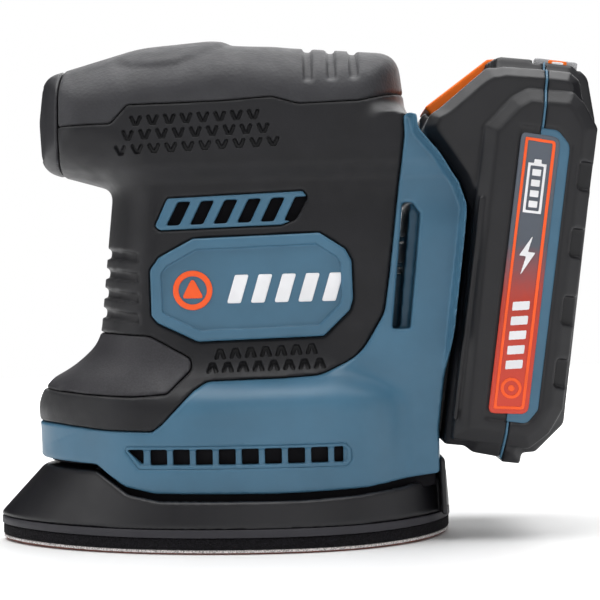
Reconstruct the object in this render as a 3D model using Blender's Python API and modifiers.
"""Cordless detail sander with a slide-on battery pack.

Metres, +Z up. X = 0 is the motor's axis and the sanding tip points to -X, so the
battery is at +X. Z = 0 is the underside of the sanding sheet. The tool is
symmetric about Y = 0. Lengths below are in millimetres and become metres in the
mesh helpers.
"""
import math

import bmesh
import bpy
from mathutils import Matrix, Vector

MM = 0.001
GAP = 0.3                       # between two pieces that touch
OBJECT_NAME = "detail_sander"

# --- sanding pad ------------------------------------------------------------
PAD_TIP_X = -78.8
PAD_REAR_X = 60.5
PAD_WIDEST_X = 5.0
PAD_HALF_WIDTH = 49.5
SHEET = (0.0, 0.7)              # heights of the bottom and the top of each layer
HOOKS = (0.95, 1.5)
FOAM = (1.75, 4.5)
BASE_PLATE = (4.75, 7.0)
PLATEN_SIDE = (7.25, 15.0)
PLATEN_NOSE_TOP = 24.3
ORBIT = 1.0                     # throw of the eccentric, a 2 mm orbit

# --- tool body ----------------------------------------------------------------
BODY_BOTTOM = 17.0
SKIN = 2.0                      # thickness of the soft overmould
WALL_OUTER = SKIN + GAP
WALL_INNER = 4.6
SEAM = 0.15                     # half of the gap between the clamshell halves

# Level slices of the body: height, front X, rear X, half width, X of the widest
# point, and the roundness of the front and the rear (2 is an ellipse, more is square).
BODY_SLICES = (
    (BODY_BOTTOM, -64.6, 56.2, 43.0, 5, 2.0, 3.2),
    (25.0, -65.3, 56.6, 43.8, 5, 2.0, 3.2),
    (36.0, -65.4, 57.3, 43.6, 5, 2.0, 3.4),
    (41.0, -65.2, 58.0, 42.8, 5, 2.0, 3.6),
    (45.0, -63.6, 58.8, 41.0, 6, 2.0, 3.8),
    (48.5, -59.6, 59.2, 38.2, 8, 2.2, 4.0),
    (52.0, -55.4, 59.8, 35.2, 10, 2.6, 4.2),
    (56.0, -51.1, 60.4, 32.8, 12, 3.2, 4.6),
    (60.5, -47.5, 61.0, 31.2, 14, 4.0, 5.0),
    (66.0, -45.5, 61.8, 30.4, 15, 5.0, 5.0),
    (75.0, -44.2, 63.0, 30.0, 15, 5.2, 5.0),
    (90.0, -42.7, 64.9, 29.6, 15, 5.2, 5.0),
    (99.0, -41.8, 65.6, 29.2, 14, 5.0, 5.0),
    (104.0, -42.2, 64.0, 28.8, 12, 4.6, 5.0),
    (107.5, -45.5, 62.2, 28.4, 8, 4.2, 4.8),
    (110.5, -52.4, 60.0, 28.0, 4, 4.2, 4.6),
    (113.5, -59.0, 57.6, 27.7, 0, 4.4, 4.4),
    (117.0, -62.4, 54.2, 27.5, 0, 4.6, 4.2),
    (122.0, -63.4, 51.2, 27.3, 0, 4.8, 4.0),
    (130.0, -63.4, 49.2, 26.6, 0, 4.8, 4.0),
    (136.0, -62.7, 48.4, 25.2, 0, 4.6, 4.0),
    (141.0, -60.6, 46.9, 23.0, 0, 4.2, 3.8),
    (144.5, -55.2, 44.6, 20.4, 0, 3.8, 3.6),
    (147.5, -46.0, 40.0, 16.8, -2, 3.4, 3.4),
    (150.0, -35.0, 17.0, 12.4, -6, 3.0, 3.0),
    (152.2, -20.0, -2.0, 6.4, -9, 2.4, 2.4),
)
RING_STEPS = 10                  # points on each quarter of a slice

# Side outlines, X and Z.
BLUE_LINE = (                   # where the blue shell meets the black overmould
    (-80, 39.2), (-60, 38.0), (-42, 35.0), (-28.4, 34.2), (-25.6, 36.3), (-16.0, 46.2),
    (-11.3, 48.5), (9, 49.0), (21, 49.8), (29.6, 53.0), (36.0, 59.5), (40.5, 68.3),
    (41.9, 77.8), (43.5, 91.1), (45.7, 106.0), (49.2, 126.0), (60, 128.0),
)
TOP_PAD_LINE = (                # where the grained top pad meets the overmould
    (-80, 125.3), (-39.6, 125.7), (-34.8, 130.9), (-6.7, 131.6), (8.5, 132.5), (16, 130.7),
    (34.7, 131.0), (48, 134.2), (60, 135.5),
)
FRONT_PAD = (                   # grained pad round the front of the neck's foot
    (-80, 64.6), (-42.4, 63.6), (-29.3, 62.3), (-17.6, 55.6), (-16.2, 52.8), (-23.9, 45.6),
    (-34.2, 45.0), (-45.6, 45.8), (-55.2, 47.8), (-80, 52.0),
)
BADGE = (
    (-15.0, 91.0), (-25.6, 85.6), (-28.4, 81.9), (-28.2, 68.9), (-26.4, 66.3),
    (-14.5, 60.4), (22.0, 61.2), (30.1, 68.5), (31.3, 72.0), (31.1, 83.0), (29.4, 86.6), (21.6, 91.8),
)
INTAKE_FRAME = (
    (-22.6, 103.4), (-26.5, 94.9), (-24.8, 93.6), (11.2, 94.4), (15.1, 96.3), (18.4, 103.0),
    (17.1, 104.6),
)
INTAKE_SLOTS = 6
INTAKE_FIRST_X = -23.2          # left end of the first slot's foot
INTAKE_PITCH = 6.9
INTAKE_WIDTH = 3.8
INTAKE_LEAN = 3.4
INTAKE_Z = (95.6, 102.2)
REAR_SLOT = ((47.3, 99.8), (48.9, 100.0), (51.3, 96.8), (47.4, 63.4), (43.3, 63.2))
EXHAUST_SLOTS = 8
EXHAUST_FIRST_X = -28.7
EXHAUST_PITCH = 6.68
EXHAUST_WIDTH = 4.6
EXHAUST_Z = (25.3, 29.5)
EXHAUST_END_WIDTH = 2.6
TOE_NOTCH = (                   # the shell's lower edge steps up over the platen's nose
    (-90, 0), (-90, 26.6), (-44.6, 26.0), (-41.2, 22.8), (-36.8, 19.4), (-31, BODY_BOTTOM - 0.4),
    (-31, 0),
)
NOSE_SEAM_X = -56.0
SCREWS = ((-44.0, 120.0), (38.0, 116.0), (-30.0, 66.0), (34.0, 38.0))
SCREW_DEPTH = 3.6               # from the side's surface to the head's seat
SCREW_HEAD = 3.0
SCREW_SHANK = 1.4
ROCKER_HALF = 8.5               # half width of the switch opening
ROCKER_Z = (117.0, 139.0)

# --- motor and drive ----------------------------------------------------------
MOTOR_RADIUS = 18.0
MOTOR_WALL = 1.4
MOTOR_Z = (62.0, 112.0)
SHAFT_RADIUS = 2.5
SHAFT_Z = (31.0, 118.0)
ECCENTRIC_RADIUS = 6.0
ECCENTRIC_Z = (17.5, 27.0)        # the pin in the platen's bearing
CRANK_RADIUS = 10.0
FAN_RADIUS = 24.0
FAN_Z = (48.5, 57.0)
FAN_BLADES = 10
BEARING_RADIUS = 8.0
BOSS_BORE = 11.4
LEGS = ((-24, -20), (-24, 20), (38, -20), (38, 20))
LEG_TOP = 32.0

# --- battery ------------------------------------------------------------------
PACK_TILT = math.radians(8.2)   # the pack leans back from upright
PACK_FOOT = (57.0, 25.0)        # X and Z of depth 0, height 0 in the pack's own frame
PACK_HALF = 35.0
PLATEAU_HALF = 37.0             # raised field round each label
PACK_SPLIT = 16.6               # depth of the joint between the two cases
CASE_BACKOFF = 0.7              # each case ends this far from the joint's middle
STRIP_HALF = 0.4
FRONT_END = PACK_SPLIT - CASE_BACKOFF
REAR_END = PACK_SPLIT + CASE_BACKOFF
# Outlines in the pack's frame: depth behind its front plane, then height along it.
PACK_OUTLINE = (
    (17.3, 1.2), (9.5, 2.2), (5.5, 3.4), (-0.4, 3.4), (-0.4, 72.0), (-5.0, 81.5),
    (-11.4, 88.8), (-17.2, 94.8), (-17.9, 100.2), (-2.4, 117.4), (0.4, 119.0), (4.0, 119.6),
    (16.0, 120.2), (24.5, 120.3), (29.6, 116.8), (31.6, 111.0), (33.4, 104.0), (33.6, 18.0),
    (32.4, 12.0), (28.6, 7.6), (22.4, 2.6), (22.2, -0.6), (17.4, -1.0),
)
PLATEAU = (
    (9.0, 8.0), (5.0, 12.0), (5.0, 95.0), (10.0, 102.8), (22.5, 102.8), (27.5, 97.0),
    (27.5, 14.0), (23.0, 8.0),
)
LABEL_WINDOW = ((9.8, 25.2), (12.2, 98.8))
LABEL_PLATE = ((11.0, 22.0), (16.5, 95.5))
PACK_HOLLOW = ((7.6, 31.0), (6.5, 114.0))
HOLLOW_HALF = 32.8
RAIL_TOP = 72.0
RAIL_HEAD = (-10.8, -5.5, 23.1)     # depth from and to, half width
RAIL_STEM = (-6.0, 1.0, 19.9)
CONTACT_NOTCH = 31.0                # the rail is thinner below this, over the contacts
CONTACT_ROWS = (-12.0, -4.0, 4.0, 12.0)
CELL_RADIUS = 9.2
CELL_HALF_LENGTH = 32.4
CELL_COUNT = 5
CELL_PITCH = 19.2
CELL_DEPTH = 18.0
CELL_FIRST = 18.0
LATCH_HALF = 13.0
LATCH_FOOT = (-15.8, 102.5)         # ends of the sloping button
LATCH_HEAD = (-3.4, 116.3)
LATCH_PROUD = 0.5
LATCH_BODY = 1.2
GAUGE = ((13.4, 27.0), 21.0)        # depth range and half width of the gauge's recess
GAUGE_FLOOR = 118.6
GAUGE_BUTTON = ((18.5, 23.5), 4.5)


def clear_scene():
    """Remove every object of the open scene."""
    for item in list(bpy.data.objects):
        bpy.data.objects.remove(item, do_unlink=True)


clear_scene()
PARTS = bpy.data.collections.new(OBJECT_NAME)
bpy.context.scene.collection.children.link(PARTS)


def material(name, colour, roughness, metallic=0.0):
    """A plain Principled material of one colour."""
    made = bpy.data.materials.get(name) or bpy.data.materials.new(name)
    made.use_nodes = True
    shader = made.node_tree.nodes["Principled BSDF"]
    shader.inputs["Base Color"].default_value = (*colour, 1.0)
    shader.inputs["Roughness"].default_value = roughness
    shader.inputs["Metallic"].default_value = metallic
    return made


# ---------------------------------------------------------------------------
# mesh helpers: each returns a closed bmesh in metres
# ---------------------------------------------------------------------------
def prism(outline, low_y, high_y):
    """An outline in X and Z pushed along Y from low_y to high_y."""
    mesh = bmesh.new()
    corners = [mesh.verts.new((x * MM, low_y * MM, z * MM)) for x, z in outline]
    face = mesh.faces.new(corners)
    pushed = bmesh.ops.extrude_face_region(mesh, geom=[face])["geom"]
    moved = [item for item in pushed if isinstance(item, bmesh.types.BMVert)]
    bmesh.ops.translate(mesh, verts=moved, vec=(0, (high_y - low_y) * MM, 0))
    bmesh.ops.recalc_face_normals(mesh, faces=mesh.faces)
    return mesh


def slab(outline, low_z, high_z):
    """An outline in X and Y pushed up from low_z to high_z."""
    mesh = bmesh.new()
    corners = [mesh.verts.new((x * MM, y * MM, low_z * MM)) for x, y in outline]
    face = mesh.faces.new(corners)
    pushed = bmesh.ops.extrude_face_region(mesh, geom=[face])["geom"]
    moved = [item for item in pushed if isinstance(item, bmesh.types.BMVert)]
    bmesh.ops.translate(mesh, verts=moved, vec=(0, 0, (high_z - low_z) * MM))
    bmesh.ops.recalc_face_normals(mesh, faces=mesh.faces)
    return mesh


def block(low, high):
    """A box between two corners."""
    mesh = bmesh.new()
    bmesh.ops.create_cube(mesh, size=1.0)
    size = [(b - a) * MM for a, b in zip(low, high)]
    centre = [(a + b) / 2 * MM for a, b in zip(low, high)]
    bmesh.ops.scale(mesh, vec=size, verts=mesh.verts)
    bmesh.ops.translate(mesh, vec=centre, verts=mesh.verts)
    return mesh


def rod(radius, low, high, centre=(0.0, 0.0), sides=24, top_radius=None):
    """An upright cylinder or cone from height low to high."""
    mesh = bmesh.new()
    bmesh.ops.create_cone(mesh, cap_ends=True, segments=sides, radius1=radius * MM,
                          radius2=(radius if top_radius is None else top_radius) * MM,
                          depth=(high - low) * MM)
    middle = (centre[0] * MM, centre[1] * MM, (low + high) / 2 * MM)
    bmesh.ops.translate(mesh, vec=middle, verts=mesh.verts)
    return mesh


def turned(profile, centre=(0.0, 0.0), steps=20):
    """A closed ring of (radius, height) points, screwed once round an upright axis."""
    data = bpy.data.meshes.new("profile")
    points = [(r * MM, 0, z * MM) for r, z in profile]
    count = len(points)
    data.from_pydata(points, [(i, (i + 1) % count) for i in range(count)], [])
    item = bpy.data.objects.new("profile", data)
    PARTS.objects.link(item)
    screw = item.modifiers.new("turn", "SCREW")
    screw.steps = steps
    screw.render_steps = steps
    screw.use_merge_vertices = True
    screw.merge_threshold = 1e-5
    graph = bpy.context.evaluated_depsgraph_get()
    baked = bpy.data.meshes.new_from_object(item.evaluated_get(graph))
    bpy.data.objects.remove(item, do_unlink=True)
    mesh = bmesh.new()
    mesh.from_mesh(baked)
    bmesh.ops.remove_doubles(mesh, verts=mesh.verts, dist=1e-6)
    bmesh.ops.recalc_face_normals(mesh, faces=mesh.faces)
    bmesh.ops.translate(mesh, vec=(centre[0] * MM, centre[1] * MM, 0), verts=mesh.verts)
    return mesh


def loft(rings):
    """Join level rings of the same number of points, and close both ends."""
    mesh = bmesh.new()
    rows = [[mesh.verts.new(Vector(p) * MM) for p in ring] for ring in rings]
    for low, high in zip(rows, rows[1:]):
        for i in range(len(low)):
            j = (i + 1) % len(low)
            mesh.faces.new((low[i], low[j], high[j], high[i]))
    mesh.faces.new(list(reversed(rows[0])))
    mesh.faces.new(rows[-1])
    bmesh.ops.recalc_face_normals(mesh, faces=mesh.faces)
    return mesh


def level_ring(z, front, rear, half, widest, front_power, rear_power, side_power=2.0, steps=RING_STEPS):
    """Points round a level slice, evenly spaced in angle on each quarter."""
    right = []
    for end, power in ((rear, rear_power), (front, front_power)):
        quarter = []
        for step in range(steps + 1):
            angle = math.pi / 2 * step / steps
            along = math.sin(angle) ** (2 / power)
            across = half * max(0.0, 1 - along ** power) ** (1 / side_power)
            quarter.append((widest + (end - widest) * along, across, z))
        right.append(quarter)
    rear_side, front_side = right
    upper = list(reversed(rear_side)) + front_side[1:]
    lower = [(x, -y, z) for x, y, z in reversed(upper[1:-1])]
    return upper + lower


def inset(mesh, distance, lowest=None):
    """A copy moved inward along its normals; lowest stretches its bottom ring down."""
    copy = mesh.copy()
    copy.normal_update()
    floor = min(v.co.z for v in copy.verts)
    moves = [(v, v.normal.copy(), v.co.z < floor + 1e-6) for v in copy.verts]
    for vert, normal, at_floor in moves:
        if at_floor:
            normal.z = 0
            normal.normalize()
        vert.co -= normal * distance * MM
        if at_floor and lowest is not None:
            vert.co.z = lowest * MM
    copy.normal_update()
    return copy


def half_space(side):
    """Everything on one side of the clamshell's joint: side is -1 or 1."""
    edges = sorted((side * SEAM, side * 90))
    return block((-120, edges[0], -20), (160, edges[1], 200))


def to_object(mesh, name):
    data = bpy.data.meshes.new(name)
    mesh.to_mesh(data)
    item = bpy.data.objects.new(name, data)
    PARTS.objects.link(item)
    return item


def combine(mesh, operation, *others):
    """Boolean others into mesh one after another, and return the new bmesh."""
    base = to_object(mesh, "boolean_base")
    cutters = [to_object(other, "boolean_cutter") for other in others]
    for cutter in cutters:
        modifier = base.modifiers.new(operation, "BOOLEAN")
        modifier.operation = operation
        modifier.solver = "EXACT"
        modifier.object = cutter
    graph = bpy.context.evaluated_depsgraph_get()
    baked = bpy.data.meshes.new_from_object(base.evaluated_get(graph))
    result = bmesh.new()
    result.from_mesh(baked)
    for item in [base, *cutters]:
        bpy.data.objects.remove(item, do_unlink=True)
    bmesh.ops.dissolve_degenerate(result, dist=1e-6, edges=result.edges)
    return result


def cut(mesh, *others):
    return combine(mesh, "DIFFERENCE", *others)


def join(mesh, *others):
    return combine(mesh, "UNION", *others)


def keep(mesh, *others):
    return combine(mesh, "INTERSECT", *others)


def node(name, mesh, look, origin=(0.0, 0.0, 0.0), parent=None, angle=30):
    """Make a finished sub-part with its origin at a point given in millimetres."""
    offset = Vector(origin) * MM
    bmesh.ops.translate(mesh, vec=-offset, verts=mesh.verts)
    item = to_object(mesh, name)
    item.location = offset
    item.data.materials.append(look)
    item.data.shade_smooth()
    item.data.set_sharp_from_angle(angle=math.radians(angle))
    if parent is not None:
        item.parent = parent
        item.matrix_parent_inverse = Matrix.Translation(-parent.location)
    return item


def pivot(name, place):
    """An empty on a joint's axis, the parent of the pieces that move with it."""
    empty = bpy.data.objects.new(name, None)
    empty.empty_display_size = 0.01
    empty.location = Vector(place) * MM
    PARTS.objects.link(empty)
    return empty


def pack_place(depth, height, y=0.0):
    """A point of the battery, from its depth behind the front plane and its height."""
    x = PACK_FOOT[0] + depth * math.cos(PACK_TILT) + height * math.sin(PACK_TILT)
    z = PACK_FOOT[1] - depth * math.sin(PACK_TILT) + height * math.cos(PACK_TILT)
    return (x, y, z)


def pack_prism(outline, low_y, high_y):
    """A pack outline, in depth and height, pushed along Y."""
    places = [pack_place(depth, height) for depth, height in outline]
    return prism([(x, z) for x, _, z in places], low_y, high_y)


def pack_box(depth, height, low_y, high_y):
    """A box in the pack's tilted frame; depth and height are pairs."""
    corners = [(depth[0], height[0]), (depth[1], height[0]), (depth[1], height[1]), (depth[0], height[1])]
    return pack_prism(corners, low_y, high_y)


def grown(outline, margin):
    """The outline with each corner moved outward by about margin."""
    count = len(outline)
    area = sum(outline[i][0] * outline[(i + 1) % count][1] - outline[(i + 1) % count][0] * outline[i][1]
               for i in range(count))
    turn = 1 if area > 0 else -1
    moved = []
    for i, (x, z) in enumerate(outline):
        before = Vector((x - outline[i - 1][0], z - outline[i - 1][1])).normalized()
        after = Vector((outline[(i + 1) % count][0] - x, outline[(i + 1) % count][1] - z)).normalized()
        out = Vector((before.y + after.y, -before.x - after.x)) * turn
        scale = margin / max(0.35, out.length / 2) if out.length else 0
        out = out.normalized() * scale if out.length else out
        moved.append((x + out.x, z + out.y))
    return moved


# ---------------------------------------------------------------------------
# tool body
# ---------------------------------------------------------------------------
BLUE = material("blue_shell", (0.075, 0.165, 0.25), 0.42)
BLACK_SOFT = material("black_overmould", (0.018, 0.019, 0.022), 0.55)
BLACK_GRAIN = material("grained_pad", (0.03, 0.031, 0.034), 0.8)
BLACK_HARD = material("black_plastic", (0.02, 0.02, 0.023), 0.45)
ORANGE = material("orange_plastic", (0.9, 0.13, 0.01), 0.35)
GREY = material("grey_label", (0.1, 0.11, 0.13), 0.4)
STEEL = material("steel", (0.55, 0.55, 0.56), 0.3, 1.0)
COPPER = material("copper", (0.7, 0.3, 0.15), 0.4, 1.0)
FOAM_LOOK = material("foam", (0.02, 0.02, 0.022), 0.95)
CLOTH = material("hook_layer", (0.5, 0.5, 0.48), 0.95)
GRIT = material("abrasive", (0.33, 0.08, 0.05), 0.95)
CELL_LOOK = material("cell_wrap", (0.05, 0.3, 0.35), 0.4)
BOARD = material("circuit_board", (0.02, 0.18, 0.07), 0.5)
RED_LEAD = material("red_lead", (0.6, 0.02, 0.02), 0.5)


def body_form():
    return loft([level_ring(*row) for row in BODY_SLICES])


def above(line, top=170):
    """Close an open side line into an outline of everything above it."""
    return list(line) + [(line[-1][0], top), (line[0][0], top)]


def exhaust_cutters(side):
    """Openings in a row low in the shell's wall: one short corner, eight full, one narrow."""
    low_y, high_y = sorted((side * 36, side * 50))
    low, high = EXHAUST_Z
    cutters = []
    for i in range(EXHAUST_SLOTS):
        x = EXHAUST_FIRST_X + i * EXHAUST_PITCH
        cutters.append(block((x, low_y, low), (x + EXHAUST_WIDTH, high_y, high)))
    last = EXHAUST_FIRST_X + EXHAUST_SLOTS * EXHAUST_PITCH
    cutters.append(block((last, low_y, low), (last + EXHAUST_END_WIDTH, high_y, high)))
    first = EXHAUST_FIRST_X - EXHAUST_PITCH + 1.0
    corner = [(first, high), (first + 3.6, high), (first + 3.6, low)]
    cutters.append(prism(corner, low_y, high_y))
    return cutters


def intake_cutters(side):
    low_y, high_y = sorted((side * 16, side * 40))
    cutters = []
    for i in range(INTAKE_SLOTS):
        foot = INTAKE_FIRST_X + i * INTAKE_PITCH
        head = foot + INTAKE_LEAN
        corners = [(foot, INTAKE_Z[0]), (foot + INTAKE_WIDTH, INTAKE_Z[0]),
                   (head + INTAKE_WIDTH, INTAKE_Z[1]), (head, INTAKE_Z[1])]
        cutters.append(prism(corners, low_y, high_y))
    return cutters


def half_width_at(x, z):
    """The body's half width at a point of its side."""
    for low, high in zip(BODY_SLICES, BODY_SLICES[1:]):
        if low[0] <= z <= high[0]:
            share = (z - low[0]) / (high[0] - low[0])
            _, front, rear, half, widest, front_power, rear_power = (
                a + (b - a) * share for a, b in zip(low, high))
            end, power = (front, front_power) if x < widest else (rear, rear_power)
            along = abs((x - widest) / (end - widest))
            return half * math.sqrt(max(0.0, 1 - along ** power))
    return 0.0


def turned_to_side(mesh, x, z):
    """Lay an upright turned piece along +Y at a point of the side."""
    bmesh.ops.rotate(mesh, cent=(0, 0, 0), verts=mesh.verts, matrix=Matrix.Rotation(-math.pi / 2, 3, "X"))
    bmesh.ops.translate(mesh, vec=(x * MM, 0, z * MM), verts=mesh.verts)
    return mesh


def screw_seats():
    """Stepped holes for the screws that close the clamshell from its right side."""
    holes = []
    for x, z in SCREWS:
        seat = half_width_at(x, z) - SCREW_DEPTH
        holes.append(turned_to_side(rod(SCREW_HEAD + GAP, seat, 70, sides=16), x, z))
        holes.append(turned_to_side(rod(SCREW_SHANK + GAP, seat - 20, seat + 1, sides=12), x, z))
    return holes


def screws():
    for number, (x, z) in enumerate(SCREWS, 1):
        seat = half_width_at(x, z) - SCREW_DEPTH
        screw = join(rod(SCREW_HEAD, seat + GAP, seat + 2.2, sides=16),
                     rod(SCREW_SHANK, seat - 8, seat + 1, sides=12))
        node(f"screw_{number}", turned_to_side(screw, x, z), STEEL, origin=(x, seat, z))


def shell_and_skins():
    """The clamshell, its soft overmould, both grained pads, the nose cap and the badges."""
    form = body_form()
    under_skin = inset(form, WALL_OUTER)
    skin_floor = inset(form, SKIN)
    cavity = inset(form, WALL_INNER, lowest=BODY_BOTTOM - 6)

    black = prism(above(BLUE_LINE), -60, 60)
    intake = prism(INTAKE_FRAME, -60, 60)
    black_less_frames = cut(black, intake)
    shell = cut(form, black_less_frames)
    shell = join(shell, under_skin)
    shell = cut(shell, cavity)
    dock = keep(inset(form, 1.0), pack_box((-13.4, 12), (3, 82), -26.5, 26.5))
    shell = join(shell, dock)
    channel = join(pack_box((-11.2, -4.8), (5.0, 200), -23.5, 23.5),
                   pack_box((-5.2, 20), (5.0, 200), -20.3, 20.3))
    shell = cut(shell, channel, prism(TOE_NOTCH, -60, 60), prism(REAR_SLOT, -60, 60),
                block((-80, -40, 90), (NOSE_SEAM_X + GAP, 40, 150)))
    for side, name in ((-1, "housing_left"), (1, "housing_right")):
        half = keep(shell, half_space(side))
        half = cut(half, *exhaust_cutters(side), *intake_cutters(side), *(screw_seats() if side > 0 else []))
        node(name, half, BLUE)

    skin = cut(form, skin_floor)
    soft = keep(skin, prism(above([(x, z + GAP) for x, z in BLUE_LINE]), -60, 60))
    soft = cut(soft, prism(above(TOP_PAD_LINE), -60, 60), prism(FRONT_PAD, -60, 60),
               prism(grown(BADGE, GAP), -60, 60), prism(grown(INTAKE_FRAME, GAP), -60, 60),
               block((-80, -40, 90), (NOSE_SEAM_X + GAP, 40, 150)), channel)
    for side, name in ((-1, "overmould_left"), (1, "overmould_right")):
        half = keep(soft, half_space(side))
        node(name, cut(half, *screw_seats()) if side > 0 else half, BLACK_SOFT)

    top = keep(skin, prism(above([(x, z + GAP) for x, z in TOP_PAD_LINE]), -60, 60))
    top = cut(top, block((-80, -40, 90), (NOSE_SEAM_X + GAP, 40, 150)))
    node("top_grip", top, BLACK_GRAIN)
    node("front_grip", keep(skin, prism(grown(FRONT_PAD, -GAP), -60, 60)), BLACK_GRAIN)

    raised = inset(form, -0.8)
    plate = cut(raised, skin_floor)
    for side, name in ((-1, "badge_left"), (1, "badge_right")):
        node(name, keep(plate, prism(BADGE, *sorted((side * 10, side * 60)))), BLUE)

    nose = keep(form, block((-80, -40, 90), (NOSE_SEAM_X, 40, 160)))
    opening = block((-80, -ROCKER_HALF, ROCKER_Z[0]), (-50, ROCKER_HALF, ROCKER_Z[1]))
    node("nose_cap", cut(nose, inset(form, 2.6), opening), BLACK_HARD)


def switch():
    """A rocker in the nose, over the switch it works."""
    middle = sum(ROCKER_Z) / 2
    axis = (-58.5, 0.0, middle)
    low, high = ROCKER_Z[0] + GAP, ROCKER_Z[1] - GAP
    face = [(-58.0, low), (-60.6, low), (-61.2, low + 3), (-61.4, middle), (-63.0, high - 3), (-62.4, high),
            (-58.0, high)]
    node("switch_rocker", prism(face, -ROCKER_HALF + GAP, ROCKER_HALF - GAP), ORANGE,
         parent=pivot("switch_axis", axis))
    node("switch_body", block((-54.0, -8, middle - 8), (-41, 8, middle + 9)), BLACK_HARD)


# ---------------------------------------------------------------------------
# motor, drive and electrics
# ---------------------------------------------------------------------------
def motor():
    low, high = MOTOR_Z
    inner = MOTOR_RADIUS - MOTOR_WALL
    can = [(inner, low), (MOTOR_RADIUS, low), (MOTOR_RADIUS, high), (5.0, high), (5.0, high - 2), (inner, high - 2)]
    node("motor_can", turned(can), STEEL)
    cap = [(BEARING_RADIUS + 0.3, low - 3.0), (MOTOR_RADIUS, low - 3.0), (MOTOR_RADIUS, low - GAP),
           (BEARING_RADIUS + 0.3, low - GAP)]
    node("motor_end_bell", turned(cap), BLACK_HARD)
    node("lower_bearing", turned([(SHAFT_RADIUS + 0.3, low - 3.0), (BEARING_RADIUS, low - 3.0),
                                  (BEARING_RADIUS, low + 2), (SHAFT_RADIUS + 0.3, low + 2)]), STEEL)
    node("upper_bearing", turned([(SHAFT_RADIUS + 0.3, high + GAP), (BEARING_RADIUS, high + GAP),
                                  (BEARING_RADIUS, high + 5.0), (SHAFT_RADIUS + 0.3, high + 5.0)]), STEEL)
    ring = [(inner - 3.2, low + 8), (inner - GAP, low + 8), (inner - GAP, high - 8), (inner - 3.2, high - 8)]
    for side, name in ((-1, "magnet_left"), (1, "magnet_right")):
        near, far = sorted((side * 5, side * 20))
        node(name, keep(turned(ring), block((-13, near, 0), (13, far, 150))), BLACK_HARD)
    plate = slab([(-27, -14), (-19, -22), (19, -22), (27, -14), (27, 14), (19, 22), (-19, 22), (-27, 14)],
                 low - 4.8, low - 3.3)
    node("motor_mount", cut(plate, rod(5.0, 50, 70)), STEEL)


def drive():
    """Everything that spins: shaft with its eccentric pin, armature, commutator, fan."""
    axis = pivot("shaft_axis", (0, 0, 0))
    pin_low, pin_high = ECCENTRIC_Z
    shaft = join(rod(SHAFT_RADIUS, SHAFT_Z[0] - 1, SHAFT_Z[1], sides=16),
                 rod(CRANK_RADIUS, pin_high, SHAFT_Z[0], sides=28),
                 rod(ECCENTRIC_RADIUS, pin_low, pin_high + 1, centre=(ORBIT, 0), sides=20))
    node("shaft_and_eccentric", shaft, STEEL, parent=axis)
    core = turned([(SHAFT_RADIUS + 0.3, 70), (12.6, 70), (12.6, 98), (SHAFT_RADIUS + 0.3, 98)])
    node("armature", core, COPPER, parent=axis)
    ring = turned([(SHAFT_RADIUS + 0.3, 100), (7.0, 100), (7.0, 107), (SHAFT_RADIUS + 0.3, 107)])
    node("commutator", ring, COPPER, parent=axis)
    low, high = FAN_Z
    disc = turned([(SHAFT_RADIUS + 0.3, low), (FAN_RADIUS, low), (FAN_RADIUS, low + 1.6), (6.0, low + 1.6),
                   (6.0, high), (SHAFT_RADIUS + 0.3, high)], steps=30)
    blades = []
    for i in range(FAN_BLADES):
        blade = block((9.5, -0.6, low + 0.8), (FAN_RADIUS - 1, 0.6, high))
        bmesh.ops.rotate(blade, cent=(0, 0, 0), verts=blade.verts,
                         matrix=Matrix.Rotation(2 * math.pi * i / FAN_BLADES, 3, "Z"))
        blades.append(blade)
    node("cooling_fan", join(disc, *blades), BLACK_HARD, parent=axis)
    weight = keep(turned([(3.1, 42.2), (20.0, 42.2), (20.0, 47.2), (3.1, 47.2)]),
                  block((-22, -15, 40), (-0.5, 15, 50)))
    node("counterweight", weight, STEEL, parent=axis)


def electrics():
    """The control board behind the rear slot, the dock's terminals and two leads."""
    node("control_board", block((39.0, -20, 58), (40.8, 20, 82)), BOARD)
    low, high = 6.0, 26.0
    base = pack_box((-10.9, -8.8), (low, high + 4), -19.0, 19.0)
    node("terminal_block", base, BLACK_HARD)
    for number, y in enumerate(CONTACT_ROWS, 1):
        node(f"terminal_{number}", pack_box((-8.5, -3.2), (low + 1, high), y - 0.4, y + 0.4), STEEL)


# ---------------------------------------------------------------------------
# platen and sanding pad
# ---------------------------------------------------------------------------
def pad_ring(z, trim=0.0):
    """The pad's level outline at height z, drawn in by trim: pointed front, round rear."""
    steps = RING_STEPS + 2
    widest, half = PAD_WIDEST_X, PAD_HALF_WIDTH - trim
    front, rear = PAD_TIP_X + trim * 1.5, PAD_REAR_X - trim
    upper = []
    for end, power, side_power in ((rear, 2.3, 2.0), (front, 2.0, 1.47)):
        quarter = []
        for step in range(steps + 1):
            angle = math.pi / 2 * step / steps
            along = math.sin(angle) ** (2 / power)
            across = half * max(0.0, 1 - along ** power) ** (1 / side_power)
            quarter.append((widest + (end - widest) * along, across, z))
        upper.append(quarter)
    line = list(reversed(upper[0])) + upper[1][1:]
    return line + [(x, -y, z) for x, y, z in reversed(line[1:-1])]


def pad_slab(low, high, trim):
    return loft([pad_ring(low, trim), pad_ring(high, trim)])


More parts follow.
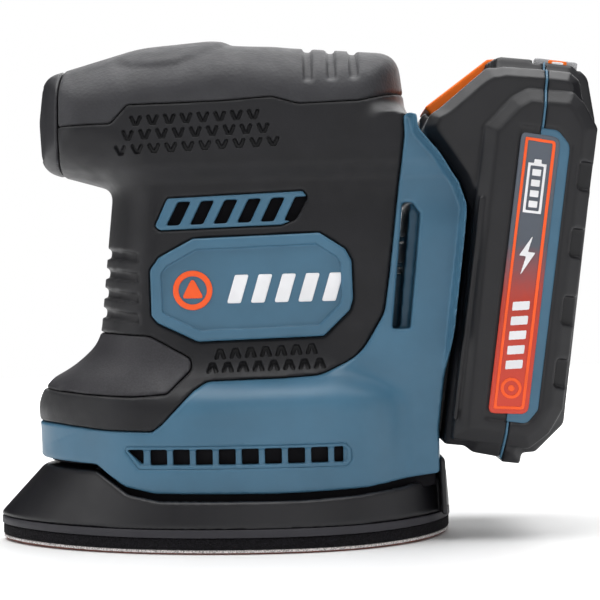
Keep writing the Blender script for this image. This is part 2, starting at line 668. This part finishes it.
def platen():
    low, high = PLATEN_SIDE
    skirt = loft([pad_ring(low, 0.6), pad_ring(9.0, 0.6), pad_ring(12.6, 2.0), pad_ring(high, 4.4)])
    nose = loft([level_ring(low + 1, -77.0, -30, 38.0, -34, 1.8, 4),
                 level_ring(11.0, -76.0, -31, 36.5, -34, 1.8, 4),
                 level_ring(PLATEN_NOSE_TOP - 4, -67.6, -39, 27.5, -42, 2.0, 3),
                 level_ring(PLATEN_NOSE_TOP, -63.6, -46, 21.0, -48, 2.0, 2.4)])
    rear_lip = [(60.2, low + 1), (60.2, 24.5), (59.6, 26.0), (59.0, 26.0), (59.0, high - 1), (54, low + 1)]
    body = join(skirt, nose, keep(prism(rear_lip, -15, 15), pad_slab(low, 30, 0.6)))
    well = rod(17.0, 10.0, 40.0, sides=32)
    body = cut(body, well)
    boss = turned([(BOSS_BORE, 9.0), (14.4, 9.0), (14.4, 26.0), (BOSS_BORE, 26.0)], centre=(ORBIT, 0))
    body = join(body, boss)
    body = cut(body, rod(BOSS_BORE, 12.0, 40.0, centre=(ORBIT, 0), sides=28))
    axis = pivot("orbit_axis", (ORBIT, 0, 0))
    node("platen", body, BLACK_HARD, parent=axis)
    bearing = [(ECCENTRIC_RADIUS + GAP, 18.0), (BOSS_BORE - GAP, 18.0), (BOSS_BORE - GAP, 25.8),
               (ECCENTRIC_RADIUS + GAP, 25.8)]
    node("eccentric_bearing", turned(bearing, centre=(ORBIT, 0)), STEEL, parent=axis)
    for number, (x, y) in enumerate(LEGS, 1):
        leg = join(rod(5.0, high + GAP, high + 3, centre=(x, y), sides=16),
                   rod(3.0, high + 2, LEG_TOP, centre=(x, y), sides=16))
        node(f"platen_leg_{number}", leg, BLACK_SOFT, parent=axis)
    node("base_plate", pad_slab(*BASE_PLATE, 0.3), BLACK_HARD, parent=axis)
    node("foam_pad", pad_slab(*FOAM, 0.0), FOAM_LOOK, parent=axis)
    node("hook_layer", pad_slab(*HOOKS, 0.6), CLOTH, parent=axis)
    node("sanding_sheet", pad_slab(*SHEET, 0.0), GRIT, parent=axis)


# ---------------------------------------------------------------------------
# battery
# ---------------------------------------------------------------------------
def both_sides(depth, height, inner, outer):
    """A pack box on the left and its twin on the right."""
    return [pack_box(depth, height, -outer, -inner), pack_box(depth, height, inner, outer)]


def pack_half(near, far):
    """One hollow half of the pack's case between two depths, with open label windows."""
    solid = join(pack_prism(PACK_OUTLINE, -PACK_HALF, PACK_HALF),
                 pack_prism(PLATEAU, -PLATEAU_HALF, PLATEAU_HALF))
    case = keep(solid, pack_box((near, far), (-20, 140), -50, 50))
    hollow = pack_box(*PACK_HOLLOW, -HOLLOW_HALF, HOLLOW_HALF)
    window = [(low - GAP, high + GAP) for low, high in LABEL_WINDOW]
    (near, far), half = GAUGE
    top = pack_box((near - GAP, far + GAP), (GAUGE_FLOOR, 130), -half - GAP, half + GAP)
    (near, far), half = GAUGE_BUTTON
    well = pack_box((near - GAP, far + GAP), (GAUGE_FLOOR - 2.2, 130), -half - GAP, half + GAP)
    return cut(case, hollow, *both_sides(*window, HOLLOW_HALF - 1, 50), top, well)


def latch_outline(inner, outer, shorten):
    """The sloping button's outline between two offsets from the slope."""
    foot, head = Vector(LATCH_FOOT), Vector(LATCH_HEAD)
    along = (head - foot).normalized()
    out = Vector((-along.y, along.x))
    start = foot + along * shorten
    return start + out * outer, head + out * outer, head + out * inner, start + out * inner


def latch_recess():
    outer_foot, outer_head, _, inner_foot = latch_outline(-4.0, 3.0, -GAP)
    outline = [tuple(outer_foot), tuple(outer_head), (1.2, 124), (12.2, 124), (12.2, 116.2), (1.0, 112.4),
               tuple(inner_foot)]
    return pack_prism(outline, -LATCH_HALF - GAP, LATCH_HALF + GAP)


def battery_cases():
    front = pack_half(-40, FRONT_END)
    rail = join(pack_box(RAIL_HEAD[:2], (5.4, RAIL_TOP), -RAIL_HEAD[2], RAIL_HEAD[2]),
                pack_box(RAIL_STEM[:2], (5.4, RAIL_TOP), -RAIL_STEM[2], RAIL_STEM[2]))
    slots = [pack_box((-9.2, -2.4), (0, 27), y - 0.9, y + 0.9) for y in CONTACT_ROWS]
    notch = pack_box((-12, -8.2), (0, CONTACT_NOTCH), -24, 24)
    front = cut(join(front, rail), notch, *slots, latch_recess())
    node("battery_front_case", front, BLACK_HARD)
    rear = pack_half(REAR_END, 60)
    node("battery_rear_case", rear, BLACK_SOFT)

    strip = (PACK_SPLIT - STRIP_HALF, PACK_SPLIT + STRIP_HALF)
    ring = cut(pack_box(strip, (1.3, 120.0), -PACK_HALF, PACK_HALF),
               pack_box((0, 40), PACK_HOLLOW[1], -HOLLOW_HALF, HOLLOW_HALF),
               pack_box((0, 40), (GAUGE_FLOOR, 130), -GAUGE[1] - GAP, GAUGE[1] + GAP))
    panels = both_sides(*LABEL_WINDOW, HOLLOW_HALF + 0.2, PLATEAU_HALF - 1)
    node("battery_mid_frame", join(ring, *panels), BLUE)
    face = PLATEAU_HALF - 1 + 0.2
    for side, name in ((-1, "label_left"), (1, "label_right")):
        node(name, pack_box(*LABEL_PLATE, *sorted((side * face, side * (face + 0.5)))), GREY)


def battery_inside():
    for number in range(CELL_COUNT):
        x, _, z = pack_place(CELL_DEPTH, CELL_FIRST + number * CELL_PITCH)
        cell = rod(CELL_RADIUS, -CELL_HALF_LENGTH, CELL_HALF_LENGTH, sides=18)
        bmesh.ops.rotate(cell, cent=(0, 0, 0), verts=cell.verts, matrix=Matrix.Rotation(math.pi / 2, 3, "X"))
        bmesh.ops.translate(cell, vec=(x * MM, 0, z * MM), verts=cell.verts)
        node(f"cell_{number + 1}", cell, CELL_LOOK, origin=(x, 0, z))
    node("battery_board", pack_box((28.2, 29.8), (12, 100), -28, 28), BOARD)


def battery_controls():
    """The release button on the slope, and the charge gauge on top with its button."""
    outer_foot, outer_head, inner_head, inner_foot = latch_outline(-LATCH_BODY, LATCH_PROUD, 0)
    outline = [tuple(outer_foot), tuple(outer_head), (1.0, 120.1), (4.6, 120.4), (4.6, 118.7), (1.6, 118.2),
               tuple(inner_head), tuple(inner_foot)]
    node("latch_button", pack_prism(outline, -LATCH_HALF, LATCH_HALF), ORANGE,
         parent=pivot("latch_axis", pack_place(*LATCH_FOOT)))
    depth, half = GAUGE
    panel = pack_box(depth, (GAUGE_FLOOR + GAP, 120.4), -half, half)
    (near, far), button_half = GAUGE_BUTTON
    hole = pack_box((near - GAP, far + GAP), (100, 130), -button_half - GAP, button_half + GAP)
    node("gauge_panel", cut(panel, hole), GREY)
    button = pack_box((near, far), (GAUGE_FLOOR - 0.8, 121.0), -button_half, button_half)
    node("gauge_button", button, ORANGE, parent=pivot("gauge_axis", pack_place(near, GAUGE_FLOOR)))


if __name__ == "__main__":
    shell_and_skins()
    screws()
    switch()
    motor()
    drive()
    electrics()
    platen()
    battery_cases()
    battery_inside()
    battery_controls()
